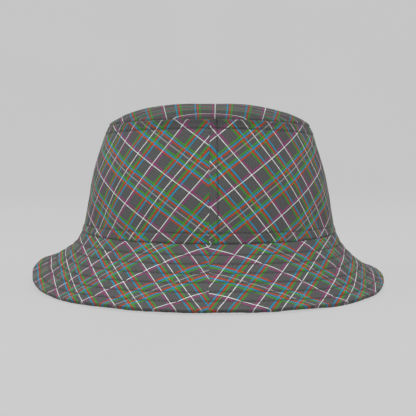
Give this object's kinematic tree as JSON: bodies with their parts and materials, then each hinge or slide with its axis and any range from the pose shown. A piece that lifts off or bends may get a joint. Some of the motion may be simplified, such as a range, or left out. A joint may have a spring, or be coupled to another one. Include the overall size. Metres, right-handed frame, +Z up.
{
  "type": "bucket hat",
  "caption": "Soft bucket hat in a bias-cut tartan twill: two-panel crown, domed oval tip, downturned topstitched brim, full lining and sweatband.",
  "frame": {"origin": "middle of the flat plane that the brim's edge rests on, under the centre of the crown", "axes": "+Z up towards the tip, -Y towards the hat's front centre seam, +X towards the right side seen from the front"},
  "size_m": [0.2608, 0.267, 0.1306],
  "materials": {
    "checked_twill": "matte grey polyester twill printed with a white, magenta, green, blue and orange tartan set on the bias",
    "lining_cloth": "thin matte charcoal plain weave",
    "interlining": "stiff off-white non-woven",
    "sweatband_cloth": "matte black ribbed tape",
    "thread": "grey spun polyester sewing thread",
    "label_tape": "blank off-white satin label tape"
  },
  "bodies": {
    "hat": {"crown_top_panel": "checked_twill", "crown_side_left": "checked_twill", "crown_side_right": "checked_twill", "brim_upper_left": "checked_twill", "brim_upper_right": "checked_twill", "brim_under_left": "checked_twill", "brim_under_right": "checked_twill", "lining_top_panel": "lining_cloth", "lining_side_left": "lining_cloth", "lining_side_right": "lining_cloth", "brim_interlining": "interlining", "sweatband": "sweatband_cloth", "brim_stitch_row_1": "thread", "brim_stitch_row_2": "thread", "brim_stitch_row_3": "thread", "brim_stitch_row_4": "thread", "brim_stitch_row_5": "thread", "brim_stitch_row_6": "thread", "crown_base_stitch_row": "thread", "crown_top_stitch_row": "thread", "front_seam_stitch_row": "thread", "back_seam_stitch_row": "thread", "sweatband_stitch_row": "thread", "size_label": "label_tape"},
    "care_label_flap": {"care_label": "label_tape"}
  },
  "joints": [
    {"name": "care_label_swing", "type": "hinge", "parent": "hat", "child": "care_label_flap", "pos_m": [0, 0.08929, 0.0677], "axis": [-1, 0, 0], "range_deg": [-4, 160]}
  ]
}
